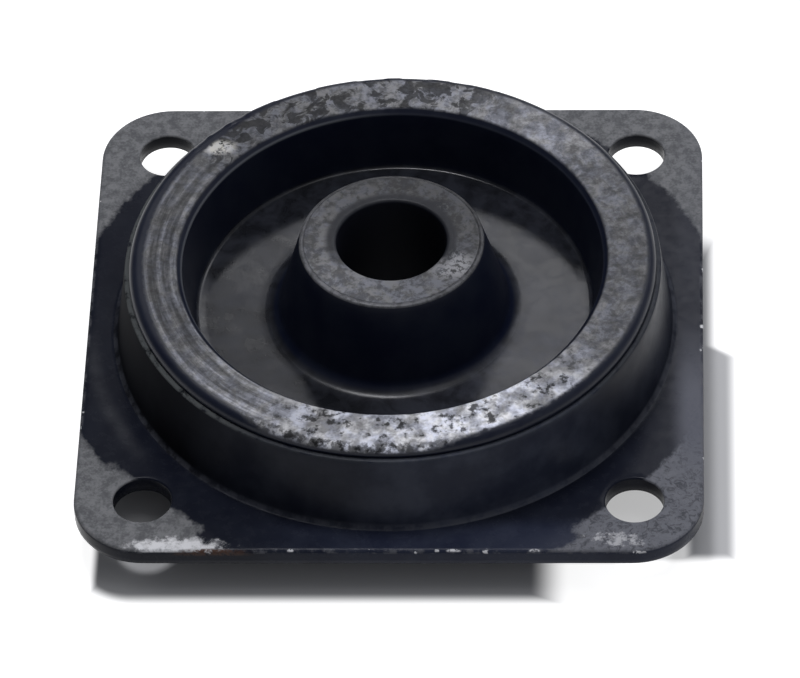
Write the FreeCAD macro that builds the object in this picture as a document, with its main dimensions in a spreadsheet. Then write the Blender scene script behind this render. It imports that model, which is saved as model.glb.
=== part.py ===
import FreeCAD, Part
import os
import Sketcher
from FreeCAD import Vector

# Plate-form engine mount: a pressed steel plate with an upturned collar, a rubber body moulded
# into and over the collar, and a thick-walled steel sleeve bonded in its middle.
# Frame: millimetres, +Z up along the sleeve's bore, origin on that axis in the plane of the
# plate's underside. The part rests on the lower end of the sleeve.

SIZES = {
    # pressed plate
    "plate_size": 76.2,
    "plate_thickness": 2.3,
    "plate_corner_radius": 8.7,
    "plate_top_chamfer": 0.35,
    "plate_bottom_chamfer": 0.2,
    "bolt_hole_inset": 8.35,
    "bolt_hole_diameter": 7.1,
    "bolt_hole_chamfer": 0.2,
    # collar pressed up out of the plate
    "collar_margin": 3.75,
    "collar_draft": 1.4,
    "collar_height": 10.1,
    "collar_wall": 1.9,
    "collar_foot_bevel": 0.45,
    "collar_under_bevel": 1.3,
    "collar_lip_chamfer": 0.2,
    # rubber ring over the collar
    "ring_rise": 1.5,
    "ring_lip_width": 0.6,
    "ring_edge_round": 1.1,
    "ring_edge_flat": 0.32,
    "ring_width": 5.75,
    "ring_bevel_width": 0.75,
    "ring_bevel_depth": 0.8,
    "ring_line_depth": 0.12,
    "ring_line_width": 0.9,
    "ring_line_inset": 1.15,
    "ring_line_step": 1.65,
    # annular recess between the ring and the hub
    "floor_height": 3.0,
    "recess_draft": 1.35,
    "recess_bevel": 0.6,
    # rubber hub round the sleeve
    "hub_skin": 0.5,
    "hub_flare": 3.7,
    "hub_foot_bevel": 0.9,
    "hub_edge_chamfer": 0.2,
    "hub_setback": 0.2,
    # underside of the rubber
    "under_setback": 0.5,
    "under_wall": 0.5,
    "under_depth": 1.6,
    "under_slope": 1.0,
    "boss_setback": 0.6,
    "boss_flare": 1.9,
    # sleeve
    "sleeve_rise": 3.0,
    "sleeve_drop": 5.2,
    "sleeve_bore_radius": 6.75,
    "sleeve_wall": 4.05,
    "sleeve_bore_chamfer": 0.4,
    "sleeve_edge_chamfer": 0.3,
}


class Size:
    """A length as a number and as the sheet expression that gives it."""

    def __init__(self, value, text):
        self.value, self.text = float(value), text

    def _join(self, sign, other, value):
        other_text = other.text if isinstance(other, Size) else repr(other)
        return Size(value, "(%s %s %s)" % (self.text, sign, other_text))

    def __add__(self, other):
        return self._join("+", other, self.value + number(other))

    def __sub__(self, other):
        return self._join("-", other, self.value - number(other))

    def __mul__(self, other):
        return self._join("*", other, self.value * number(other))

    def __truediv__(self, other):
        return self._join("/", other, self.value / number(other))

    def __neg__(self):
        return Size(-self.value, "(-1 * %s)" % self.text)


def number(size):
    return size.value if isinstance(size, Size) else float(size)


doc = FreeCAD.newDocument("engine_mount")
sheet = doc.addObject("Spreadsheet::Sheet", "dims")
for row, (alias, value) in enumerate(SIZES.items(), start=1):
    sheet.set("A%d" % row, alias)
    sheet.set("B%d" % row, str(value))
    sheet.setAlias("B%d" % row, alias)
doc.recompute()


def dim(alias):
    return Size(sheet.get(alias), "dims.%s" % alias)


def bind(target, prop, size):
    target.setExpression(prop, size.text)


# ---------------------------------------------------------------- sketches and features

def new_body(name):
    body = doc.addObject("PartDesign::Body", name)
    body.Label = name
    return body


def origin_item(body, role):
    return next(item for item in body.Origin.OriginFeatures if item.Role == role)


def new_sketch(body, name, plane):
    sketch = body.newObject("Sketcher::SketchObject", name)
    sketch.AttachmentSupport = [(origin_item(body, plane), "")]
    sketch.MapMode = "FlatFace"
    return sketch


def place_point(sketch, geometry, point, across, up):
    """Holds one point of a curve at (across, up) from the sketch's origin."""
    for kind, size in (("DistanceX", across), ("DistanceY", up)):
        index = sketch.addConstraint(
            Sketcher.Constraint(kind, -1, 1, geometry, point, number(size)))
        if isinstance(size, Size):
            sketch.setExpression("Constraints[%d]" % index, size.text)


def polygon(sketch, corners):
    """Adds a closed outline of straight lines through corners given as (across, up)."""
    first = sketch.GeometryCount
    count = len(corners)
    for i, (across, up) in enumerate(corners):
        next_across, next_up = corners[(i + 1) % count]
        sketch.addGeometry(Part.LineSegment(
            Vector(number(across), number(up), 0), Vector(number(next_across), number(next_up), 0)))
    for i in range(count):
        sketch.addConstraint(Sketcher.Constraint(
            "Coincident", first + i, 2, first + (i + 1) % count, 1))
    for i, (across, up) in enumerate(corners):
        place_point(sketch, first + i, 1, across, up)


def circle(sketch, across, up, radius):
    index = sketch.addGeometry(
        Part.Circle(Vector(number(across), number(up), 0), Vector(0, 0, 1), number(radius)))
    place_point(sketch, index, 3, across, up)
    constraint = sketch.addConstraint(Sketcher.Constraint("Radius", index, number(radius)))
    sketch.setExpression("Constraints[%d]" % constraint, radius.text)


def pad(body, name, sketch, length, down=False):
    feature = body.newObject("PartDesign::Pad", name)
    feature.Profile = sketch
    feature.Reversed = down
    bind(feature, "Length", length)
    doc.recompute()
    return feature


def turned(body, name, kind, outlines):
    """Revolves outlines, drawn in the XZ plane as (radius, height), about the Z axis."""
    sketch = new_sketch(body, name + "_profile", "XZ_Plane")
    for corners in outlines:
        polygon(sketch, corners)
    before = body.Shape.Volume if body.Tip else 0.0
    feature = body.newObject(kind, name)
    feature.Profile = sketch
    feature.ReferenceAxis = (origin_item(body, "Z_Axis"), [""])
    feature.Angle = 360.0
    doc.recompute()
    if (body.Shape.Volume > before) != (kind == "PartDesign::Revolution"):
        raise RuntimeError("%s changed the volume the wrong way" % name)
    return feature


def edges_of(shape, wanted):
    return ["Edge%d" % (i + 1) for i, edge in enumerate(shape.Edges) if wanted(edge)]


def ring_edge(radius, height, slack=0.02):
    """Picks full circles about the Z axis at one radius and height."""
    def wanted(edge):
        curve = edge.Curve
        return (isinstance(curve, Part.Circle)
                and abs(curve.Center.x) < slack and abs(curve.Center.y) < slack
                and abs(curve.Radius - number(radius)) < slack
                and abs(curve.Center.z - number(height)) < slack)
    return wanted


def dress(body, name, kind, prop, size, wanted):
    """Rounds or chamfers the edges of the body's last feature that are wanted."""
    base = body.Tip
    names = edges_of(base.Shape, wanted)
    if not names:
        raise RuntimeError("%s found no edge" % name)
    feature = body.newObject(kind, name)
    feature.Base = (base, names)
    bind(feature, prop, size)
    doc.recompute()
    return feature


def fillet(body, name, size, wanted):
    return dress(body, name, "PartDesign::Fillet", "Radius", size, wanted)


def chamfer(body, name, size, wanted):
    return dress(body, name, "PartDesign::Chamfer", "Size", size, wanted)


# ---------------------------------------------------------------- shared heights and radii

zero = Size(0.0, "0")
plate_top = dim("plate_thickness")
collar_top = plate_top + dim("collar_height")
ring_top = collar_top + dim("ring_rise")
floor_top = plate_top + dim("floor_height")
sleeve_top = ring_top + dim("sleeve_rise")
sleeve_bottom = -dim("sleeve_drop")

plate_half = dim("plate_size") / 2
bolt_reach = plate_half - dim("bolt_hole_inset")
bolt_hole_radius = dim("bolt_hole_diameter") / 2

# The collar's two walls lean inwards alike, and the inner one runs on down to the underside.
collar_base = plate_half - dim("collar_margin")
collar_mouth = collar_base - dim("collar_draft")
collar_inner_mouth = collar_mouth - dim("collar_wall")
collar_inner_base = collar_base - dim("collar_wall")
collar_inner_foot = (collar_inner_base
                     + dim("collar_draft") * plate_top / dim("collar_height"))
collar_middle = collar_base - dim("collar_wall") / 2

sleeve_outer = dim("sleeve_bore_radius") + dim("sleeve_wall")
hub_radius = sleeve_outer + dim("hub_skin")
hub_base = hub_radius + dim("hub_flare")
ring_outer = collar_mouth - dim("ring_lip_width")
ring_inner = ring_outer - dim("ring_width")
recess_mouth = ring_inner - dim("ring_bevel_width")
recess_foot = recess_mouth - dim("recess_draft")


# ---------------------------------------------------------------- pressed plate with its collar

def make_plate():
    body = new_body("mounting_plate")
    outline = new_sketch(body, "plate_outline", "XY_Plane")
    polygon(outline, [(-plate_half, -plate_half), (plate_half, -plate_half),
                      (plate_half, plate_half), (-plate_half, plate_half)])
    pad(body, "plate_blank", outline, plate_top)
    fillet(body, "plate_corners", dim("plate_corner_radius"),
           lambda edge: abs(edge.BoundBox.ZLength - plate_top.value) < 0.01)

    turned(body, "collar", "PartDesign::Revolution", [[
        (collar_inner_foot, zero), (collar_base, zero), (collar_base, plate_top),
        (collar_mouth, collar_top), (collar_inner_mouth, collar_top)]])
    turned(body, "opening", "PartDesign::Groove", [[
        (zero, zero), (collar_inner_foot, zero), (collar_inner_base, plate_top),
        (zero, plate_top)]])

    hole_at = new_sketch(body, "bolt_hole_position", "XY_Plane")
    circle(hole_at, bolt_reach, bolt_reach, bolt_hole_radius)
    doc.recompute()
    before = body.Shape.Volume
    hole = body.newObject("PartDesign::Hole", "bolt_hole")
    hole.Profile = hole_at
    hole.DepthType = "ThroughAll"
    hole.Reversed = True
    bind(hole, "Diameter", dim("bolt_hole_diameter"))
    doc.recompute()
    if body.Shape.Volume >= before:
        raise RuntimeError("the bolt hole cut nothing")
    holes = body.newObject("PartDesign::PolarPattern", "bolt_holes")
    holes.Originals = [hole]
    holes.Axis = (origin_item(body, "Z_Axis"), [""])
    holes.Angle = 360.0
    holes.Occurrences = 4
    body.Tip = holes
    doc.recompute()

    def on_outline(height):
        def wanted(edge):
            box = edge.BoundBox
            flat = abs(box.ZMin - height) < 0.01 and abs(box.ZMax - height) < 0.01
            reach = max(abs(box.XMin), abs(box.XMax), abs(box.YMin), abs(box.YMax))
            return flat and abs(reach - plate_half.value) < 0.01
        return wanted

    def on_hole(edge):
        curve = edge.Curve
        return isinstance(curve, Part.Circle) and abs(curve.Radius - bolt_hole_radius.value) < 0.01

    chamfer(body, "collar_foot", dim("collar_foot_bevel"), ring_edge(collar_base, plate_top))
    chamfer(body, "collar_under_edge", dim("collar_under_bevel"),
            ring_edge(collar_inner_foot, zero))
    chamfer(body, "collar_lip", dim("collar_lip_chamfer"), ring_edge(collar_mouth, collar_top))
    chamfer(body, "plate_top_edge", dim("plate_top_chamfer"), on_outline(plate_top.value))
    chamfer(body, "plate_bottom_edge", dim("plate_bottom_chamfer"), on_outline(0.0))
    chamfer(body, "bolt_hole_rims", dim("bolt_hole_chamfer"), on_hole)
    return body


# ---------------------------------------------------------------- moulded rubber

def make_rubber(plate):
    """A block turned to the moulding's shape, less the plate and collar that it encloses."""
    body = new_body("rubber_blank")
    edge_round, edge_flat = dim("ring_edge_round"), dim("ring_edge_flat")
    under = dim("under_setback")
    under_roof = under + dim("under_depth")
    under_outer = recess_foot - dim("under_wall")
    boss_base = hub_radius + dim("boss_flare")
    boss_bottom = sleeve_bottom + dim("boss_setback")
    hub_top = sleeve_top - dim("hub_setback")
    turned(body, "rubber", "PartDesign::Revolution", [[
        (sleeve_outer, hub_top), (hub_radius, hub_top), (hub_base, floor_top),
        (recess_foot, floor_top), (recess_mouth, ring_top - dim("ring_bevel_depth")),
        (ring_inner, ring_top), (ring_outer - edge_round, ring_top),
        (ring_outer - edge_flat, ring_top - edge_flat), (ring_outer, ring_top - edge_round),
        (ring_outer, collar_top), (collar_middle, plate_top), (collar_middle, under),
        (under_outer, under), (under_outer - dim("under_slope"), under_roof),
        (hub_base + dim("under_slope"), under_roof), (boss_base, under - dim("under_depth")),
        (hub_radius, boss_bottom), (sleeve_outer, boss_bottom)]])

    half_line = dim("ring_line_width") / 2
    lines = []
    for count in range(2):
        middle = ring_inner + dim("ring_line_inset") + dim("ring_line_step") * count
        lines.append([(middle - half_line, ring_top), (middle, ring_top - dim("ring_line_depth")),
                      (middle + half_line, ring_top)])
    turned(body, "ring_lines", "PartDesign::Groove", lines)

    chamfer(body, "recess_corner", dim("recess_bevel"), ring_edge(recess_foot, floor_top))
    chamfer(body, "hub_foot", dim("hub_foot_bevel"), ring_edge(hub_base, floor_top))
    chamfer(body, "hub_edge", dim("hub_edge_chamfer"), ring_edge(hub_radius, hub_top))

    rubber = doc.addObject("Part::Cut", "rubber_body")
    rubber.Label = "rubber_body"
    rubber.Base = body
    rubber.Tool = plate
    doc.recompute()
    return rubber


# ---------------------------------------------------------------- steel sleeve

def make_sleeve():
    body = new_body("inner_sleeve")
    bore = dim("sleeve_bore_radius")
    turned(body, "sleeve", "PartDesign::Revolution", [[
        (bore, sleeve_bottom), (sleeve_outer, sleeve_bottom), (sleeve_outer, sleeve_top),
        (bore, sleeve_top)]])

    def at_ends(radius):
        return lambda edge: (ring_edge(radius, sleeve_bottom)(edge)
                             or ring_edge(radius, sleeve_top)(edge))

    chamfer(body, "bore_lead_in", dim("sleeve_bore_chamfer"), at_ends(bore))
    chamfer(body, "end_edges", dim("sleeve_edge_chamfer"), at_ends(sleeve_outer))
    return body


plate_body = make_plate()
pieces = [plate_body, make_rubber(plate_body), make_sleeve()]
doc.recompute()

for item in doc.Objects:
    if {"Invalid", "Error"} & set(item.State):
        raise RuntimeError("%s failed: %s" % (item.Label, item.State))
for piece in pieces:
    shape = piece.Shape
    if shape.isNull() or not shape.isValid() or len(shape.Solids) != 1:
        raise RuntimeError("%s has no sound solid" % piece.Label)

os.makedirs("parts", exist_ok=True)
for piece in pieces:
    piece.Shape.exportStep("parts/%s.step" % piece.Label)
    box = piece.Shape.BoundBox
    print("%-16s %9.1f mm3  x %.2f..%.2f  y %.2f..%.2f  z %.2f..%.2f" % (
        piece.Label, piece.Shape.Volume, box.XMin, box.XMax, box.YMin, box.YMax,
        box.ZMin, box.ZMax))
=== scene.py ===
import math

import bmesh
import bpy
from mathutils import Matrix, Vector, geometry, noise


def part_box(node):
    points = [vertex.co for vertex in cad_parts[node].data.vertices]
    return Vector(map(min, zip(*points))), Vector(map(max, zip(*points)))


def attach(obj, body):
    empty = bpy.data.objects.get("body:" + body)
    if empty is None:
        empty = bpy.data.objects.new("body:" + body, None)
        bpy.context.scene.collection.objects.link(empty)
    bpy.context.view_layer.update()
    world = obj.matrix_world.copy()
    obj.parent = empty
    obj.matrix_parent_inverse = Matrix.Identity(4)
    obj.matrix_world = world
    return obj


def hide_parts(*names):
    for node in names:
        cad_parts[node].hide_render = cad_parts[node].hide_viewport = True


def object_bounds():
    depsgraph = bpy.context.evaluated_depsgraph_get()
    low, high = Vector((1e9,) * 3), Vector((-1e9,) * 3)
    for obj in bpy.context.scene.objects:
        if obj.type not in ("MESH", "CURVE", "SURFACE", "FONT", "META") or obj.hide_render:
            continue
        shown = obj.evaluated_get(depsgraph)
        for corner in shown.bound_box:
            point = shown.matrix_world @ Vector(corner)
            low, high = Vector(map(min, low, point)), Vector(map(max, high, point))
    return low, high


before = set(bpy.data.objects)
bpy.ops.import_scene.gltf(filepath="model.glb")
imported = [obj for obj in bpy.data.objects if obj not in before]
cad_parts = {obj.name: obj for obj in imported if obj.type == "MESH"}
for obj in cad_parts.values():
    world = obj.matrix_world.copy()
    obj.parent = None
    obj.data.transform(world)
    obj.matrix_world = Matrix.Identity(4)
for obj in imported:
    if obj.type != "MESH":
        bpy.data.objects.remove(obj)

MM = 0.001
cad_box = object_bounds()

# ---------------------------------------------------------------- sizes, in mm

plate_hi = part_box("mounting_plate")[1] / MM
rubber_lo, rubber_hi = (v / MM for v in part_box("rubber_body"))
sleeve_lo, sleeve_hi = (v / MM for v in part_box("inner_sleeve"))

HALF = plate_hi.x
CORNER = 8.7
PLATE_TOP = 2.3
COLLAR_TOP = plate_hi.z
COLLAR_BASE = HALF - 3.75
COLLAR_MOUTH = COLLAR_BASE - 1.4
COLLAR_WALL = 1.9
EDGE_ROUND = 0.45
RIM_ROUND = 0.25
HOLE_AT = HALF - 8.35
HOLE_R = 3.55

RING_TOP = COLLAR_TOP + 1.5
RING_OUT = COLLAR_MOUTH - 0.6
RING_IN = RING_OUT - 5.75
FLOOR = PLATE_TOP + 3.0
MOUTH = RING_IN - 0.75
FOOT = MOUTH - 1.35
HUB_TOP = rubber_hi.z
BORE = 6.75
SLEEVE_R = sleeve_hi.x
HUB_R = SLEEVE_R + 0.5
HUB_BASE = HUB_R + 3.2
UNDER = 0.5
UNDER_ROOF = 2.1

# lines round the ring's face: (distance from its inner edge, depth, half width)
RING_LINES = ((1.15, 0.08, 0.42), (2.8, 0.09, 0.45), (0.3, 0.04, 0.2))
PEEL_DEPTH = 0.10
PIT_DEPTH = 0.12
RUBBER_UNEVEN = 0.02
STEEL_UNEVEN = 0.018
FLAKE_DEPTH = 0.03

RUBBER_SEGMENTS = 540
COLLAR_SEGMENTS = 480
SLEEVE_SEGMENTS = 288
HOLE_SEGMENTS = 72

BARE_METAL = (0.62, 0.62, 0.63)


# ---------------------------------------------------------------- mesh helpers

def new_piece(name, verts, faces):
    """A smooth mesh object from vertices in mm."""
    mesh = bpy.data.meshes.new(name)
    mesh.from_pydata([(x * MM, y * MM, z * MM) for x, y, z in verts], [], faces)
    bm = bmesh.new()
    bm.from_mesh(mesh)
    bmesh.ops.remove_doubles(bm, verts=bm.verts, dist=1e-6)
    bmesh.ops.recalc_face_normals(bm, faces=bm.faces)
    bm.to_mesh(mesh)
    bm.free()
    mesh.polygons.foreach_set("use_smooth", [True] * len(mesh.polygons))
    obj = bpy.data.objects.new(name, mesh)
    bpy.context.scene.collection.objects.link(obj)
    return obj


def rounded(corners, closed=True):
    """Turns (r, z, radius) corners into a line of (r, z) points with arcs for the radii."""
    points = []
    count = len(corners)
    for i, (r, z, radius) in enumerate(corners):
        here = Vector((r, z))
        if radius <= 0 or (not closed and i in (0, count - 1)):
            points.append(here)
            continue
        a = Vector(corners[i - 1][:2]) - here
        b = Vector(corners[(i + 1) % count][:2]) - here
        a.normalize()
        b.normalize()
        half = a.angle(b) / 2
        reach = radius / math.tan(half)
        centre = here + (a + b).normalized() * (radius / math.sin(half))
        start, end = here + a * reach, here + b * reach
        steps = max(3, int((math.pi - 2 * half) * radius / 0.22) + 2)
        v0, v1 = start - centre, end - centre
        turn = v0.angle_signed(v1)
        for k in range(steps + 1):
            t = -turn * k / steps
            c, s = math.cos(t), math.sin(t)
            points.append(centre + Vector((v0.x * c - v0.y * s, v0.x * s + v0.y * c)))
    return points


def spaced(points, gap_at, closed=True):
    """Adds points along the straight runs, gap_at(r, z) mm apart."""
    out = []
    count = len(points)
    for i in range(count if closed else count - 1):
        a, b = points[i], points[(i + 1) % count]
        mid = (a + b) / 2
        n = max(1, int(math.ceil((b - a).length / gap_at(mid.x, mid.y))))
        out += [a.lerp(b, k / n) for k in range(n)]
    if not closed:
        out.append(points[-1])
    return out


def lathe(name, profile, segments, shape=None):
    """Turns a closed (r, z) profile about the bore; shape(r, angle, z) may move each point."""
    verts, faces = [], []
    count = len(profile)
    for s in range(segments):
        angle = 2 * math.pi * s / segments
        ca, sa = math.cos(angle), math.sin(angle)
        for p in profile:
            r, z = p
            if shape:
                r, z = shape(r, angle, z)
            verts.append((r * ca, r * sa, z))
    for s in range(segments):
        t = (s + 1) % segments
        for i in range(count):
            j = (i + 1) % count
            faces.append((s * count + i, t * count + i, t * count + j, s * count + j))
    return new_piece(name, verts, faces)


def fractal(x, y, z, scale, seed, octaves=4):
    """Fixed noise, about -1 to 1, whose waves are scale mm long."""
    p = Vector((x / scale + seed * 7.3, y / scale - seed * 3.1, z / scale + seed * 1.7))
    return noise.fractal(p, 1.0, 2.0, octaves)


def smooth_step(value, low, high):
    t = min(1.0, max(0.0, (value - low) / (high - low)))
    return t * t * (3 - 2 * t)


# ---------------------------------------------------------------- rubber body

def rubber_shape(r, angle, z):
    """The moulding's unevenness, and the lines, peeled skin and pits of the ring's face."""
    x, y = r * math.cos(angle), r * math.sin(angle)
    if z < FLOOR - 0.3:
        return r, z
    on_ring = smooth_step(z, RING_TOP - 0.9, RING_TOP - 0.4) * smooth_step(r, MOUTH, RING_IN)
    if on_ring > 0:
        degrees = math.degrees(angle) % 360
        wander = 0.12 * fractal(x, y, 0, 14, 3, 2)
        lined = 0.35 + 0.65 * smooth_step(degrees, 135, 160) * smooth_step(-degrees, -262, -240)
        for at, depth, width in RING_LINES:
            d = (r - (RING_IN + at) + wander) / width
            z -= on_ring * depth * lined * math.exp(-d * d)
        peeled = smooth_step(degrees, 62, 84) * smooth_step(-degrees, -150, -140)
        flake = fractal(x, y, 0, 2.6, 5)
        z -= on_ring * peeled * PEEL_DEPTH * smooth_step(flake, -0.02, 0.07)
        pitted = smooth_step(degrees, 246, 262) * smooth_step(-degrees, -322, -305)
        pit = fractal(x, y, 0, 0.8, 9, 2)
        z -= on_ring * pitted * PIT_DEPTH * smooth_step(pit, 0.28, 0.46)
    z += RUBBER_UNEVEN * fractal(x, y, z, 5.5, 1, 3)
    r += RUBBER_UNEVEN * fractal(x, y, z, 7.0, 2, 3)
    return r, z


def make_rubber():
    under_out = FOOT - 0.5
    profile = rounded([
        (SLEEVE_R, HUB_TOP + 0.15, 0), (HUB_R, HUB_TOP, 0.2), (HUB_BASE, FLOOR, 2.0),
        (FOOT, FLOOR, 0.55), (MOUTH, RING_TOP - 0.8, 0.3), (RING_IN, RING_TOP, 0.35),
        (RING_OUT, RING_TOP, 1.1), (RING_OUT, COLLAR_TOP, 0),
        (RING_OUT - 0.5, COLLAR_TOP, 0), (RING_OUT + 0.6, PLATE_TOP, 0),
        (COLLAR_BASE - 0.95, UNDER, 0), (under_out, UNDER, 0.3),
        (under_out - 1.0, UNDER_ROOF, 0.5), (HUB_BASE + 1.0, UNDER_ROOF, 0.5),
        (HUB_R + 1.9, UNDER - 1.6, 0.4), (HUB_R, rubber_lo.z, 0.3), (SLEEVE_R, rubber_lo.z, 0)])

    def gap_at(r, z):
        if z > RING_TOP - 0.7 and r > MOUTH - 0.2:
            return 0.17
        return 0.9 if z > FLOOR - 0.4 and r < MOUTH + 0.3 else 1.8

    profile = spaced(profile, gap_at)
    return lathe("rubber_moulding", profile, RUBBER_SEGMENTS, rubber_shape)


# ---------------------------------------------------------------- pressed plate and collar

def outline(inset, count=16, gap=0.75):
    """Points round the plate's edge, inset from its outside: count to a corner, gap mm apart."""
    reach, radius = HALF - inset, CORNER - inset
    centre = reach - radius
    points = []
    for quarter in range(4):
        start = quarter * math.pi / 2
        cx = centre * (1 if quarter in (0, 3) else -1)
        cy = centre * (1 if quarter in (0, 1) else -1)
        for k in range(count + 1):
            a = start + (math.pi / 2) * k / count
            points.append(Vector((cx + radius * math.cos(a), cy + radius * math.sin(a))))
        along = Vector((-math.sin(start + math.pi / 2), math.cos(start + math.pi / 2)))
        last = points[-1]
        length = 2 * centre
        steps = int(length / gap)
        for k in range(1, steps):
            points.append(last + along * (length * k / steps))
    return points


def ring_points(cx, cy, radius, count):
    return [Vector((cx + radius * math.cos(2 * math.pi * k / count),
                    cy + radius * math.sin(2 * math.pi * k / count))) for k in range(count)]


HOLES = [(sx * HOLE_AT, sy * HOLE_AT) for sx in (-1, 1) for sy in (-1, 1)]


def sheet_region(outer, inner, hole_rim, gap):
    """Triangles that fill the flat plate between its outline, the collar's foot and the holes."""
    loops = [outer, inner] + [ring_points(x, y, hole_rim, HOLE_SEGMENTS) for x, y in HOLES]
    points, edges = [], []
    for loop in loops:
        base = len(points)
        points += loop
        edges += [(base + i, base + (i + 1) % len(loop)) for i in range(len(loop))]
    inner_r = inner[0].length
    corner = HALF - CORNER
    clear = gap * 0.6
    steps = int(2 * HALF / gap)
    for i in range(steps):
        for j in range(steps):
            x = -HALF + gap * (i + 0.5 + 0.5 * (j % 2))
            y = -HALF + gap * (j + 0.5)
            ax, ay = abs(x), abs(y)
            if max(ax, ay) > HALF - EDGE_ROUND - clear:
                continue
            if ax > corner and ay > corner and (
                    math.hypot(ax - corner, ay - corner) > CORNER - EDGE_ROUND - clear):
                continue
            if math.hypot(x, y) < inner_r + clear:
                continue
            if math.hypot(ax - HOLE_AT, ay - HOLE_AT) < hole_rim + clear:
                continue
            points.append(Vector((x, y)))
    verts, _, faces, *_ = geometry.delaunay_2d_cdt(points, edges, [], 0, 1e-5)
    keep = []
    for face in faces:
        c = sum((verts[i] for i in face), Vector((0, 0))) / len(face)
        ax, ay = abs(c.x), abs(c.y)
        if c.length < inner_r or math.hypot(ax - HOLE_AT, ay - HOLE_AT) < hole_rim:
            continue
        if ax > corner and ay > corner and math.hypot(ax - corner, ay - corner) > CORNER:
            continue
        keep.append(tuple(face))
    return verts, keep


def plate_height(x, y, z):
    """The steel's slight unevenness, which never rises past the collar's lip."""
    if z > 1:
        z += STEEL_UNEVEN * fractal(x, y, z, 6.0, 11, 3)
    return min(z, COLLAR_TOP)


def quarter_round(radius, steps):
    """(offset, drop) pairs down a rounded edge."""
    turns = (math.pi / 2 * k / steps for k in range(steps + 1))
    return [(radius * (1 - math.sin(t)), radius * (1 - math.cos(t))) for t in turns]


def make_plate():
    """The plate and its collar as one closed skin, stacked from loops of points."""
    verts, faces = [], []

    def add_loop(points, z):
        base = len(verts)
        verts.extend((p.x, p.y, z) for p in points)
        return base, len(points)

    def bridge(a, b):
        (start_a, n), (start_b, _) = a, b
        for i in range(n):
            j = (i + 1) % n
            faces.append((start_a + i, start_a + j, start_b + j, start_b + i))

    def stack(levels, points_at):
        """Bridges loops given as (offset, z)."""
        loops = [add_loop(points_at(offset), z) for offset, z in levels]
        for a, b in zip(loops, loops[1:]):
            bridge(a, b)

    levels = [(offset, PLATE_TOP - drop) for offset, drop in quarter_round(EDGE_ROUND, 6)]
    levels += [(0.0, 1.4), (0.0, 0.8), (0.0, 0.22), (0.07, 0.07), (0.2, 0.0)]
    stack(levels, outline)

    for x, y in HOLES:
        rim = [(HOLE_R + offset, PLATE_TOP - drop) for offset, drop in quarter_round(RIM_ROUND, 4)]
        rim += [(HOLE_R, 1.2), (HOLE_R, 0.15), (HOLE_R + 0.15, 0.0)]
        stack(rim, lambda radius, cx=x, cy=y: ring_points(cx, cy, radius, HOLE_SEGMENTS))

    lean = 1.4 / 10.1
    inner_foot = COLLAR_BASE - COLLAR_WALL + lean * PLATE_TOP
    profile = rounded([
        (COLLAR_BASE + 0.9, PLATE_TOP, 0), (COLLAR_BASE, PLATE_TOP, 0.8),
        (COLLAR_MOUTH, COLLAR_TOP, 0.22), (COLLAR_MOUTH - COLLAR_WALL, COLLAR_TOP, 0.22),
        (inner_foot, 0.0, 1.5), (inner_foot + 1.4, 0.0, 0)], closed=False)
    profile = spaced(profile, lambda r, z: 0.55, closed=False)
    stack([(p.x, p.y) for p in profile],
          lambda radius: ring_points(0, 0, radius, COLLAR_SEGMENTS))

    for z, inset, foot, rim, gap in (
            (PLATE_TOP, EDGE_ROUND, profile[0].x, HOLE_R + RIM_ROUND, 0.55),
            (0.0, 0.2, profile[-1].x, HOLE_R + 0.15, 1.2)):
        region, cells = sheet_region(
            outline(inset), ring_points(0, 0, foot, COLLAR_SEGMENTS), rim, gap)
        base = len(verts)
        verts.extend((p.x, p.y, z) for p in region)
        faces.extend(tuple(base + i for i in cell) for cell in cells)
    verts = [(x, y, plate_height(x, y, z)) for x, y, z in verts]
    return new_piece("pressed_plate", verts, faces)


# ---------------------------------------------------------------- steel sleeve

def sleeve_shape(r, angle, z):
    """Flaked spots in the film on the sleeve's end face."""
    x, y = r * math.cos(angle), r * math.sin(angle)
    if z > sleeve_hi.z - 0.1 and BORE + 0.5 < r < SLEEVE_R - 0.3:
        z -= FLAKE_DEPTH * smooth_step(fractal(x, y, 0, 2.2, 21), -0.1, 0.2)
    return r, z


def make_sleeve():
    low, high = sleeve_lo.z, sleeve_hi.z
    profile = rounded([
        (BORE, low, 0.4), (SLEEVE_R, low, 0.3), (SLEEVE_R, high, 0.1), (BORE, high, 0.45)])
    profile = spaced(profile, lambda r, z: 0.22 if z > high - 0.1 else 1.2)
    return lathe("steel_sleeve", profile, SLEEVE_SEGMENTS, sleeve_shape)


# ---------------------------------------------------------------- material helpers

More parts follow.
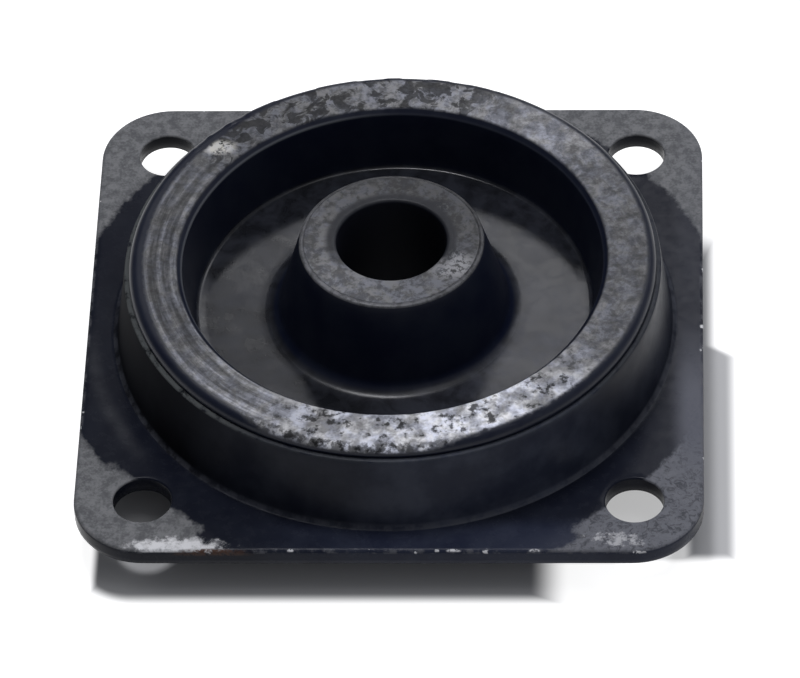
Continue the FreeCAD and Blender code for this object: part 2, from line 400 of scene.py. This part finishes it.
class Paint:
    """Builds one node material from short calls. Places and sizes are object mm."""

    def __init__(self, name):
        self.material = bpy.data.materials.new(name)
        self.material.use_nodes = True
        self.tree = self.material.node_tree
        self.shader = self.tree.nodes["Principled BSDF"]
        coords = self.tree.nodes.new("ShaderNodeTexCoord")
        scale = self.tree.nodes.new("ShaderNodeVectorMath")
        scale.operation = "SCALE"
        self.tree.links.new(coords.outputs["Object"], scale.inputs[0])
        scale.inputs["Scale"].default_value = 1000.0
        self.at = scale.outputs[0]
        split = self.tree.nodes.new("ShaderNodeSeparateXYZ")
        self.tree.links.new(self.at, split.inputs[0])
        self.x, self.y, self.z = split.outputs
        self.r = self.math("SQRT", self.math("ADD", self.math("MULTIPLY", self.x, self.x),
                                             self.math("MULTIPLY", self.y, self.y)))

    def plug(self, socket, value):
        if isinstance(value, bpy.types.NodeSocket):
            self.tree.links.new(value, socket)
        elif isinstance(value, tuple) and len(value) == 3 and socket.type == "RGBA":
            socket.default_value = (*value, 1.0)
        else:
            socket.default_value = value

    def math(self, operation, a, b=0.0, clamp=False):
        node = self.tree.nodes.new("ShaderNodeMath")
        node.operation = operation
        node.use_clamp = clamp
        self.plug(node.inputs[0], a)
        self.plug(node.inputs[1], b)
        return node.outputs[0]

    def add(self, a, b):
        return self.math("ADD", a, b)

    def mul(self, a, b):
        return self.math("MULTIPLY", a, b)

    def top(self, a, b):
        return self.math("MAXIMUM", a, b)

    def step(self, value, low, high):
        """Nought below low, one above high."""
        node = self.tree.nodes.new("ShaderNodeMapRange")
        node.interpolation_type = "SMOOTHSTEP"
        self.plug(node.inputs[0], value)
        node.inputs[1].default_value = low
        node.inputs[2].default_value = high
        return node.outputs[0]

    def fall(self, value, low, high):
        """One below low, nought above high."""
        return self.math("SUBTRACT", 1.0, self.step(value, low, high))

    def band(self, value, low, high, soft):
        """One between low and high."""
        return self.mul(self.step(value, low - soft, low + soft),
                        self.fall(value, high - soft, high + soft))

    def noise(self, size, detail=3.0, rough=0.55, warp=0.0):
        """Noise whose patches are about size mm across."""
        node = self.tree.nodes.new("ShaderNodeTexNoise")
        self.tree.links.new(self.at, node.inputs["Vector"])
        node.inputs["Scale"].default_value = 1.0 / size
        node.inputs["Detail"].default_value = detail
        node.inputs["Roughness"].default_value = rough
        node.inputs["Distortion"].default_value = warp
        return node.outputs["Fac"]

    def polar_noise(self, across, along, detail=3.0, rough=0.6):
        """Noise drawn out round the axis: across mm in radius, along mm round the ring."""
        angle = self.math("ARCTAN2", self.y, self.x)
        node = self.tree.nodes.new("ShaderNodeTexNoise")
        place = self.tree.nodes.new("ShaderNodeCombineXYZ")
        self.plug(place.inputs[0], self.math("DIVIDE", self.r, across))
        turn = 28.0 / along
        self.plug(place.inputs[1], self.mul(self.math("COSINE", angle), turn))
        self.plug(place.inputs[2], self.mul(self.math("SINE", angle), turn))
        self.tree.links.new(place.outputs[0], node.inputs["Vector"])
        node.inputs["Scale"].default_value = 1.0
        node.inputs["Detail"].default_value = detail
        node.inputs["Roughness"].default_value = rough
        return node.outputs["Fac"]

    def spot(self, x, y, rx, ry, soft=0.3):
        """One inside an ellipse about (x, y), falling off over its edge."""
        dx = self.math("DIVIDE", self.math("SUBTRACT", self.x, x), rx)
        dy = self.math("DIVIDE", self.math("SUBTRACT", self.y, y), ry)
        d = self.math("SQRT", self.add(self.mul(dx, dx), self.mul(dy, dy)))
        return self.fall(d, 1 - soft, 1 + soft)

    def sector(self, middle, half, soft):
        """One within half degrees of a direction round the axis."""
        a = math.radians(middle)
        dot = self.math("DIVIDE", self.add(self.mul(self.x, math.cos(a)),
                                           self.mul(self.y, math.sin(a))), self.r)
        return self.step(dot, math.cos(math.radians(min(180, half + soft))),
                         math.cos(math.radians(max(0, half - soft))))

    def tone_round(self, stops):
        """A grey that changes with the direction round the axis; stops are (degrees, grey)."""
        turn = self.math("FRACT", self.math("DIVIDE", self.math("ARCTAN2", self.y, self.x),
                                            2 * math.pi))
        node = self.tree.nodes.new("ShaderNodeValToRGB")
        ramp = node.color_ramp
        while len(ramp.elements) < len(stops):
            ramp.elements.new(0.5)
        for element, (degrees, grey) in zip(ramp.elements, stops):
            element.position = degrees / 360
            element.color = (grey * 0.98, grey * 0.99, grey * 1.06, 1)
        self.tree.links.new(turn, node.inputs[0])
        return node.outputs[0]

    def scale(self, color, amount):
        """A colour made lighter or darker."""
        node = self.tree.nodes.new("ShaderNodeVectorMath")
        node.operation = "SCALE"
        self.plug(node.inputs[0], color)
        self.plug(node.inputs["Scale"], amount)
        return node.outputs[0]

    def tint(self, color, size):
        """Drifts a grey a little to blue and to olive, in patches about size mm across."""
        node = self.tree.nodes.new("ShaderNodeVectorMath")
        node.operation = "MULTIPLY"
        self.plug(node.inputs[0], color)
        hue = self.mix(self.step(self.noise(size, 3, 0.6, warp=0.3), 0.38, 0.62),
                       (0.97, 0.99, 1.05), (1.02, 1.005, 0.95))
        self.plug(node.inputs[1], hue)
        return node.outputs[0]

    def mix(self, amount, a, b):
        """From colour a to colour b."""
        node = self.tree.nodes.new("ShaderNodeMix")
        node.data_type = "RGBA"
        self.plug(node.inputs[0], amount)
        self.plug(node.inputs[6], a)
        self.plug(node.inputs[7], b)
        return node.outputs[2]

    def blend(self, amount, a, b):
        """From number a to number b."""
        node = self.tree.nodes.new("ShaderNodeMix")
        self.plug(node.inputs[0], amount)
        self.plug(node.inputs[2], a)
        self.plug(node.inputs[3], b)
        return node.outputs[0]

    def bump(self, height, distance, strength=1.0):
        node = self.tree.nodes.new("ShaderNodeBump")
        self.plug(node.inputs["Strength"], strength)
        node.inputs["Distance"].default_value = distance * MM
        self.plug(node.inputs["Height"], height)
        self.tree.links.new(node.outputs[0], self.shader.inputs["Normal"])

    def finish(self, color, roughness, specular=0.5):
        self.plug(self.shader.inputs["Base Color"], color)
        self.plug(self.shader.inputs["Roughness"], roughness)
        self.shader.inputs["Specular IOR Level"].default_value = specular
        return self.material


# ---------------------------------------------------------------- materials

def plate_paint():
    """Glossy black film in a circle round the collar, made lighter along the front edge as painted
    light, greyed, scuffed paint in the corners.
    """
    p = Paint("plate_paint")
    grain = p.noise(0.32, 3, 0.6)
    mottle = p.noise(1.3, 4, 0.65)
    cloud = p.noise(6.0, 4, 0.6)
    ragged = p.noise(2.2, 4, 0.7)
    flecks = p.noise(0.7, 4, 0.75)

    flat = p.step(p.z, PLATE_TOP - 0.35, PLATE_TOP - 0.15)
    reach = p.add(p.r, p.mul(p.math("SUBTRACT", ragged, 0.5), 2.4))
    reach = p.math("SUBTRACT", reach, p.mul(p.fall(p.y, -36.8, -33.5), 2.2))
    reach = p.math("SUBTRACT", reach, p.mul(p.fall(p.x, -35, -32),
                                            p.mul(p.fall(p.y, -10, 0), 1.6)))
    corner = p.mul(flat, p.step(reach, 40.3, 41.1))

    film = p.mix(p.step(cloud, 0.35, 0.65), (0.0055, 0.0068, 0.0130), (0.0095, 0.0113, 0.0185))
    # painted light: the film is made lighter along the plate's front edge
    film = p.scale(film, p.blend(p.mul(p.fall(p.y, -35.0, -32.0), p.step(p.x, -22, 4)), 1.0, 2.5))
    soft = p.add(p.mul(grain, 0.35), p.mul(mottle, 0.65))
    grey = p.mix(p.step(soft, 0.38, 0.62), (0.088, 0.090, 0.095), (0.170, 0.172, 0.177))
    crack = p.step(p.noise(0.9, 4, 0.7, warp=1.2), 0.36, 0.54)
    leather = p.mix(crack, (0.040, 0.042, 0.053), (0.130, 0.134, 0.155))
    grey = p.mix(p.mul(p.step(p.x, 10, 24), p.mul(p.fall(p.y, -10, 5), 0.75)), grey, leather)
    color = p.mix(corner, film, grey)
    # a lighter bluish grey on the film along the plate's right edge, strongest towards the front
    right_edge_grey = p.mul(flat, p.mul(p.step(p.x, 33.5, 36.5), p.step(p.y, -30.0, -16.0)))
    right_edge_grey = p.mul(right_edge_grey, p.blend(p.step(p.y, -14, 2), 0.9, 0.12))
    color = p.mix(right_edge_grey, color, (0.100, 0.104, 0.126))

    cloudy = p.add(p.mul(mottle, 0.55), p.mul(flecks, 0.45))
    left = p.add(p.mul(p.spot(-25.2, -37.3, 6.0, 1.5, 0.8), 0.45), cloudy)
    right = p.add(p.mul(p.spot(27.6, -36.2, 4.8, 2.0, 0.8), 0.42), cloudy)
    scuff = p.mul(flat, p.top(p.step(left, 0.70, 0.94), p.mul(p.step(right, 0.84, 0.96), 0.5)))
    color = p.mix(scuff, color, BARE_METAL)
    # a faint lighter grey band on the film at the left, a few mm outside the collar
    left_grey_band = p.mul(flat, p.mul(p.band(p.r, 36.9, 38.4, 0.8), p.sector(200, 14, 8)))
    left_grey_band = p.mul(left_grey_band, p.blend(p.step(cloud, 0.35, 0.6), 0.15, 0.5))
    color = p.mix(left_grey_band, color, (0.050, 0.052, 0.058))

    side = p.top(p.math("ABSOLUTE", p.x), p.math("ABSOLUTE", p.y))
    rim = p.mul(p.step(side, HALF - 0.55, HALF - 0.2), p.step(p.z, 1.7, 2.0))
    worn = p.mul(rim, p.step(p.noise(1.8, 5, 0.75), 0.46, 0.60))
    color = p.mix(p.mul(worn, 0.7), color, (0.105, 0.107, 0.118))
    bright = p.mul(rim, p.step(p.noise(1.3, 2, 0.5), 0.67, 0.70))
    for x, width in ((-11.5, 0.35), (6.1, 0.25), (8.1, 0.8), (17.8, 0.6)):
        bright = p.top(bright, p.mul(p.spot(x, -37.95, width, 0.2, 0.3),
                                     p.mul(p.step(p.z, 2.0, 2.2), p.step(flecks, 0.38, 0.50))))
    color = p.mix(bright, color, BARE_METAL)
    rust = p.top(p.mul(p.spot(-21.0, -38.1, 4.0, 0.4, 0.4), p.step(p.z, 1.3, 1.8)),
                 p.mul(p.spot(38.1, -20.0, 0.5, 11.0, 0.4), p.fall(p.z, 1.5, 2.1)))
    color = p.mix(p.mul(rust, p.step(flecks, 0.40, 0.56)), color, (0.070, 0.040, 0.030))

    rough = p.blend(corner, p.blend(p.step(mottle, 0.3, 0.7), 0.20, 0.30),
                    p.blend(p.step(mottle, 0.3, 0.7), 0.42, 0.6))
    rough = p.top(rough, p.mul(p.top(scuff, rim), 0.55))
    p.bump(soft, 0.05, p.blend(corner, 0.12, 0.6))
    return p.finish(color, rough, 0.075)


def collar_paint():
    """Duller black on the collar's wall, lighter towards the front right as painted light and
    darker on the left as painted shade, its lip lighter in flecks, partly wear and partly painted
    highlight, and a lighter mottled band at its foot.
    """
    p = Paint("collar_paint")
    mottle = p.noise(1.5, 4, 0.65)
    cloud = p.noise(7.0, 4, 0.6)
    color = p.mix(p.step(cloud, 0.35, 0.65), (0.0085, 0.0100, 0.0165), (0.018, 0.0205, 0.029))
    # painted light: the wall's colour is doubled towards the front right
    color = p.scale(color, p.blend(p.sector(292, 22, 12), 1.0, 2.0))
    # painted shade: the wall's colour is cut to a third on the left
    color = p.scale(color, p.blend(p.sector(203, 26, 12), 1.0, 0.3))
    # the lip is lighter in flecks: partly worn edge and flash, partly painted highlight, strongest
    # on the left
    lip = p.mul(p.step(p.z, COLLAR_TOP - 0.3, COLLAR_TOP - 0.1), p.step(mottle, 0.36, 0.52))
    lip = p.mul(lip, p.blend(p.sector(192, 42, 12), 0.25, 1.0))
    color = p.mix(lip, color, (0.070, 0.075, 0.076))
    # a lighter grey mottled band at the wall's foot
    foot = p.mul(p.fall(p.z, PLATE_TOP + 0.25, PLATE_TOP + 0.6), p.step(mottle, 0.35, 0.6))
    color = p.mix(p.mul(foot, 0.5), color, (0.055, 0.058, 0.070))
    p.bump(p.add(p.mul(mottle, 0.7), p.mul(p.noise(0.4, 3), 0.3)), 0.04, 0.35)
    rough = p.blend(p.step(mottle, 0.3, 0.7), 0.28, 0.38)
    return p.finish(color, p.blend(p.sector(192, 36, 14), rough, 0.85), 0.07)


def rubber_skin():
    """Black moulding with greyed, worn skin on the ring's face, painted shade and highlight on the
    face's outer rounding, a painted highlight line at the mouth, and dust with painted light and
    shade on the recess floor.
    """
    p = Paint("rubber_skin")
    grain = p.noise(0.3, 3, 0.6)
    fine = p.noise(0.9, 4, 0.7)
    cloud = p.noise(5.0, 4, 0.6)
    streak = p.polar_noise(0.5, 7.0, 3, 0.65)
    patch = p.noise(2.4, 5, 0.62, warp=0.8)

    color = p.mix(p.step(cloud, 0.35, 0.65), (0.0040, 0.0058, 0.0155), (0.0080, 0.0105, 0.0200))
    floor = p.mul(p.fall(p.z, FLOOR + 0.15, FLOOR + 0.6), p.step(p.z, FLOOR - 0.5, FLOOR - 0.3))
    # dust with painted light and shade: the recess floor is lighter to the right and darker
    # towards the back wall
    floor_dust_and_shade = p.mul(p.step(p.x, -8.0, 22.0), p.blend(p.step(fine, 0.3, 0.7), 0.6, 1.0))
    floor_dust_and_shade = p.mul(floor_dust_and_shade, p.blend(p.step(p.y, -9.0, 6.0), 1.0, 0.15))
    smear = p.blend(p.step(p.add(p.mul(cloud, 0.5), p.mul(patch, 0.5)), 0.38, 0.62), 0.6, 1.5)
    ground = p.mix(floor_dust_and_shade, (0.010, 0.0110, 0.0145), (0.026, 0.028, 0.037))
    color = p.mix(floor, color, p.scale(ground, smear))
    # painted highlight: a light grey line round the mouth's bevel, strongest on the left
    mouth_highlight = p.mul(p.band(p.z, RING_TOP - 0.95, RING_TOP - 0.62, 0.1),
                  p.band(p.r, MOUTH - 0.6, MOUTH + 0.4, 0.1))
    mouth_highlight = p.mul(mouth_highlight, p.blend(p.sector(160, 58, 15), 0.1, 0.7))
    color = p.mix(mouth_highlight, color, (0.085, 0.090, 0.100))

    face = p.mul(p.step(p.z, RING_TOP - 0.9, RING_TOP - 0.5), p.step(p.r, RING_IN - 0.3, RING_IN))
    edge = p.add(p.r, p.mul(p.math("SUBTRACT", fine, 0.5), 1.0))
    # painted highlight and shade: the grey face reaches further onto the outer rounding at the
    # front left and stops short of it on the left
    edge = p.math("SUBTRACT", edge, p.mul(p.sector(262, 20, 10), 1.1))
    edge = p.add(edge, p.mul(p.sector(165, 40, 15), 0.8))
    face = p.mul(face, p.fall(edge, RING_OUT - 1.3, RING_OUT - 0.7))
    tone = p.tone_round([
        (0, 0.098), (28, 0.125), (50, 0.23), (70, 0.165), (92, 0.125), (112, 0.088), (130, 0.070),
        (150, 0.10), (172, 0.078), (195, 0.085), (212, 0.100), (230, 0.155), (250, 0.28),
        (268, 0.375), (292, 0.50), (310, 0.38), (330, 0.130), (360, 0.098)])
    # painted shade and highlight: the outer rounding takes a darker share of the face's grey,
    # except at the front left, where patchy lighter grey stands for its highlight, mixed with wear
    worn = p.blend(p.step(fine, 0.48, 0.60), 0.40, 1.1)
    worn = p.blend(p.sector(262, 22, 10), 0.45, worn)
    tone = p.scale(tone, p.blend(p.step(p.r, RING_OUT - 1.3, RING_OUT - 0.8), 1.0, worn))
    plain = p.mul(p.blend(p.step(fine, 0.35, 0.65), 0.65, 1.25),
                  p.blend(p.step(patch, 0.38, 0.60), 0.65, 1.25))
    wander = p.add(p.r, p.mul(p.math("SUBTRACT", cloud, 0.5), 0.6))
    bands = p.top(p.band(wander, RING_IN - 0.1, RING_IN + 0.75, 0.25),
                  p.top(p.band(wander, RING_IN + 1.75, RING_IN + 2.35, 0.3),
                        p.band(wander, RING_IN + 3.45, RING_IN + 4.35, 0.3)))
    lines = p.mul(p.blend(p.step(streak, 0.36, 0.64), 0.65, 1.4),
                  p.blend(p.step(fine, 0.34, 0.66), 0.65, 1.35))
    lines = p.mul(p.blend(bands, 0.68, 1.35), lines)
    peel = p.mul(p.blend(p.step(patch, 0.45, 0.53), 0.28, 1.35),
                 p.blend(p.step(fine, 0.35, 0.62), 0.6, 1.35))
    pits = p.mul(p.blend(p.step(p.noise(1.1, 4, 0.6), 0.36, 0.49), 0.12, 1.15),
                 p.mul(p.blend(p.step(p.noise(2.6, 3, 0.6), 0.38, 0.6), 0.55, 1.4),
                       p.blend(p.step(fine, 0.36, 0.6), 0.72, 1.15)))
    change = p.blend(p.sector(200, 52, 14), plain, lines)
    change = p.blend(p.sector(106, 37, 6), change, peel)
    change = p.blend(p.sector(283, 40, 10), change, pits)
    fleck = p.mul(p.spot(-22.2, 19.3, 1.9, 1.1, 0.5), p.step(fine, 0.40, 0.52))
    grey = p.mix(fleck, p.scale(tone, change), (0.50, 0.49, 0.46))
    color = p.mix(face, color, p.tint(grey, 2.3))
    skin = p.mul(p.step(p.z, HUB_TOP - 0.3, HUB_TOP - 0.1), p.fall(p.r, HUB_R + 0.1, HUB_R + 0.3))
    color = p.mix(skin, color, p.scale(hub_tone(p), p.blend(p.step(fine, 0.35, 0.6), 0.5, 1.1)))

    rough = p.blend(floor, 0.38, p.blend(p.step(patch, 0.35, 0.65), 0.15, 0.22))
    rough = p.blend(face, rough, 0.52)
    foot = p.mul(p.fall(p.r, HUB_BASE + 1.6, HUB_BASE + 2.4),
                 p.band(p.z, FLOOR + 0.02, FLOOR + 1.8, 0.1))
    rough = p.blend(foot, rough, 0.3)
    p.bump(p.add(p.mul(grain, 0.5), p.mul(fine, 0.5)), 0.04, p.blend(face, 0.2, 0.5))
    return p.finish(color, rough, 0.2)


def hub_tone(p):
    """The grey of the hub's face, which the rubber's skin and the sleeve share."""
    return p.tone_round([(0, 0.054), (45, 0.044), (90, 0.046), (135, 0.062), (180, 0.090),
                         (225, 0.135), (270, 0.108), (315, 0.088), (360, 0.054)])


def sleeve_steel():
    """End face under a blotchy worn film, bore left dark."""
    p = Paint("sleeve_steel")
    patch = p.noise(2.0, 5, 0.7, warp=0.5)
    fine = p.noise(0.7, 4, 0.7)
    face = p.step(p.z, sleeve_hi.z - 0.3, sleeve_hi.z - 0.1)
    mottle = p.add(p.mul(patch, 0.65), p.mul(fine, 0.35))
    top = p.tint(p.scale(hub_tone(p), p.blend(p.step(mottle, 0.42, 0.58), 0.55, 1.45)), 1.6)
    flaked = p.mul(p.spot(7.6, -4.4, 2.4, 2.1, 0.5), p.step(fine, 0.43, 0.52))
    top = p.mix(flaked, top, (0.24, 0.24, 0.25))
    scored = p.top(p.spot(6.6, -2.0, 1.7, 1.1, 0.5), p.spot(5.4, 5.8, 1.7, 1.2, 0.5))
    top = p.mix(p.mul(scored, p.fall(p.noise(0.8, 4, 0.7, warp=1.0), 0.50, 0.56)), top,
                (0.014, 0.015, 0.019))
    rim = p.mul(p.fall(p.r, 7.6, 8.5), p.sector(88, 122, 25))
    top = p.mix(p.mul(rim, 0.9), top, (0.012, 0.013, 0.017))
    color = p.mix(face, (0.006, 0.007, 0.012), top)
    p.bump(mottle, 0.05, 0.5)
    return p.finish(color, p.blend(face, 0.5, 0.45), 0.2)


# ---------------------------------------------------------------- pieces

def dress(piece, node, material):
    """Puts a piece in a CAD node's place, with its material."""
    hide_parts(node)
    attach(piece, "root")
    piece.data.materials.clear()
    piece.data.materials.append(material)


plate = make_plate()
dress(plate, "mounting_plate", plate_paint())
plate.data.materials.append(collar_paint())
for face in plate.data.polygons:
    centre = face.center / MM
    if math.hypot(centre.x, centre.y) < COLLAR_BASE + 0.5 and centre.z > PLATE_TOP - 0.1:
        face.material_index = 1
dress(make_rubber(), "rubber_body", rubber_skin())
dress(make_sleeve(), "inner_sleeve", sleeve_steel())


# ---------------------------------------------------------------- floor, light and camera

def make_floor():
    """White floor that glows for the camera, except where the object's shadow lies; it also glows
    as painted light under parts of the plate, and holds a painted shadow strip by the plate's
    right side.
    """
    size = 3.0
    mesh = bpy.data.meshes.new("floor")
    z = cad_box[0].z
    mesh.from_pydata([(-size, -size, z), (size, -size, z), (size, size, z), (-size, size, z)],
                     [], [(0, 1, 2, 3)])
    floor = bpy.data.objects.new("floor", mesh)
    bpy.context.scene.collection.objects.link(floor)
    material = bpy.data.materials.new("floor_white")
    material.use_nodes = True
    nodes, links = material.node_tree.nodes, material.node_tree.links
    shader = nodes["Principled BSDF"]
    shader.inputs["Base Color"].default_value = (0.5, 0.5, 0.5, 1)
    shader.inputs["Roughness"].default_value = 0.9
    shader.inputs["Specular IOR Level"].default_value = 0.0
    glow = nodes.new("ShaderNodeEmission")
    glow.inputs[0].default_value = (1, 1, 1, 1)
    path = nodes.new("ShaderNodeLightPath")

    def math_node(operation, a, b=0.0):
        node = nodes.new("ShaderNodeMath")
        node.operation = operation
        for socket, value in zip(node.inputs, (a, b)):
            if isinstance(value, float):
                socket.default_value = value
            else:
                links.new(value, socket)
        return node.outputs[0]

    either = math_node("MAXIMUM", path.outputs["Is Camera Ray"], path.outputs["Is Glossy Ray"])
    either = math_node("MAXIMUM", either, path.outputs["Is Transmission Ray"])
    coords = nodes.new("ShaderNodeTexCoord")
    split = nodes.new("ShaderNodeSeparateXYZ")
    links.new(coords.outputs["Object"], split.inputs[0])
    x, y = split.outputs[0], split.outputs[1]

    def ramp(value, low, high, most=1.0):
        """Nought at low mm, most at high mm."""
        node = nodes.new("ShaderNodeMapRange")
        node.interpolation_type = "SMOOTHSTEP"
        links.new(value, node.inputs[0])
        for index, number in enumerate((low * MM, high * MM, 0.0, most), start=1):
            node.inputs[index].default_value = number
        return node.outputs[0]

    # painted shadow: the shadow's edge is pushed out past the plate's right side, leaving a grey
    # strip there
    painted_shadow_strip = math_node("MULTIPLY", ramp(y, 3.5, 1.0), ramp(x, 30.0, 36.0, 0.0026))
    away = []
    for value in (math_node("SUBTRACT", x, painted_shadow_strip), y):
        out = math_node("SUBTRACT", math_node("ABSOLUTE", value), (HALF - 7) * MM)
        away.append(math_node("MAXIMUM", out, 0.0))
    away = math_node("SQRT", math_node("ADD", math_node("MULTIPLY", away[0], away[0]),
                                       math_node("MULTIPLY", away[1], away[1])))
    glow_level = ramp(away, 7.0, 9.2, 0.9)
    # painted light: the floor glows under the front right of the plate, and more faintly under its
    # right side
    front = math_node("MULTIPLY", ramp(x, 17.0, 22.0, 0.9), ramp(y, -31.5, -33.5))
    right = math_node("MULTIPLY", ramp(x, 18.0, 25.0, 0.42), ramp(x, 37.0, 35.5))
    # the glow also reaches under the plate's back and its left edge, as painted light
    for level in (front, right, ramp(y, 18.0, 24.0, 0.9), ramp(x, -35.2, -36.4, 0.9)):
        glow_level = math_node("MAXIMUM", glow_level, level)
    links.new(math_node("MULTIPLY", either, glow_level), glow.inputs["Strength"])
    both = nodes.new("ShaderNodeAddShader")
    links.new(shader.outputs[0], both.inputs[0])
    links.new(glow.outputs[0], both.inputs[1])
    # seen from below the floor is clear, so that the underside shows
    clear = nodes.new("ShaderNodeMixShader")
    links.new(nodes.new("ShaderNodeNewGeometry").outputs["Backfacing"], clear.inputs[0])
    links.new(both.outputs[0], clear.inputs[1])
    links.new(nodes.new("ShaderNodeBsdfTransparent").outputs[0], clear.inputs[2])
    links.new(clear.outputs[0], nodes["Material Output"].inputs["Surface"])
    mesh.materials.append(material)


def area_light(name, location, target, size, power, size_y=None):
    data = bpy.data.lights.new(name, "AREA")
    data.shape = "RECTANGLE"
    data.size = size
    data.size_y = size_y or size
    data.energy = power
    data.color = (0.985, 0.99, 1.03)
    light = bpy.data.objects.new(name, data)
    light.location = location
    light.rotation_mode = "QUATERNION"
    light.rotation_quaternion = (Vector(target) - Vector(location)).to_track_quat("-Z", "Y")
    bpy.context.scene.collection.objects.link(light)


def toward(azimuth, elevation, distance):
    """A place at that distance, azimuth in degrees from the back (+Y) towards the right (+X)."""
    a, e = math.radians(azimuth), math.radians(elevation)
    return (distance * math.sin(a) * math.cos(e), distance * math.cos(a) * math.cos(e),
            distance * math.sin(e))


def make_light():
    """A dim world, lighter from the right and white to the camera, and three soft lamps."""
    world = bpy.data.worlds.new("studio")
    bpy.context.scene.world = world
    world.use_nodes = True
    nodes, links = world.node_tree.nodes, world.node_tree.links
    back = nodes["Background"]
    back.inputs[0].default_value = (0.96, 0.985, 1.06, 1)
    path = nodes.new("ShaderNodeLightPath")
    coords = nodes.new("ShaderNodeTexCoord")
    split = nodes.new("ShaderNodeSeparateXYZ")
    links.new(coords.outputs["Generated"], split.inputs[0])
    side = nodes.new("ShaderNodeMapRange")
    links.new(split.outputs[0], side.inputs[0])
    side.inputs[1].default_value, side.inputs[2].default_value = -0.8, 0.8
    side.inputs[3].default_value, side.inputs[4].default_value = 0.09, 0.50
    level = nodes.new("ShaderNodeMix")
    links.new(path.outputs["Is Camera Ray"], level.inputs[0])
    links.new(side.outputs[0], level.inputs[2])
    level.inputs[3].default_value = 1.05
    links.new(level.outputs[0], back.inputs[1])
    area_light("back", toward(20, 46, 0.6), (0, 0, 0), 0.44, 0.64, 0.09)
    area_light("glint", toward(-25, 76, 0.6), (0, 0, 0), 0.12, 1.55)
    area_light("over", toward(110, 78, 0.9), (0, 0, 0), 0.4, 0.9)


def make_camera():
    """A long lens from the front, 46 degrees up."""
    azimuth, elevation, roll = (math.radians(a) for a in (-3.4572, 45.9612, -2.5628))
    along = Vector((math.sin(azimuth) * math.cos(elevation),
                    math.cos(azimuth) * math.cos(elevation), -math.sin(elevation)))
    right = Vector((math.cos(azimuth), -math.sin(azimuth), 0))
    up = right.cross(along)
    right, up = (right * math.cos(roll) + up * math.sin(roll),
                 up * math.cos(roll) - right * math.sin(roll))
    data = bpy.data.cameras.new("camera")
    data.lens = 297.22
    data.sensor_width = 36.0
    data.clip_start, data.clip_end = 0.01, 10.0
    camera = bpy.data.objects.new("camera", data)
    place = -(right * -0.5324 + up * 0.3933 + along * 819.374) * MM
    camera.matrix_world = Matrix.Translation(place) @ Matrix(
        (right, up, -along)).transposed().to_4x4()
    bpy.context.scene.collection.objects.link(camera)
    bpy.context.scene.camera = camera


make_floor()
make_light()
make_camera()
bpy.context.scene.view_settings.view_transform = "Standard"
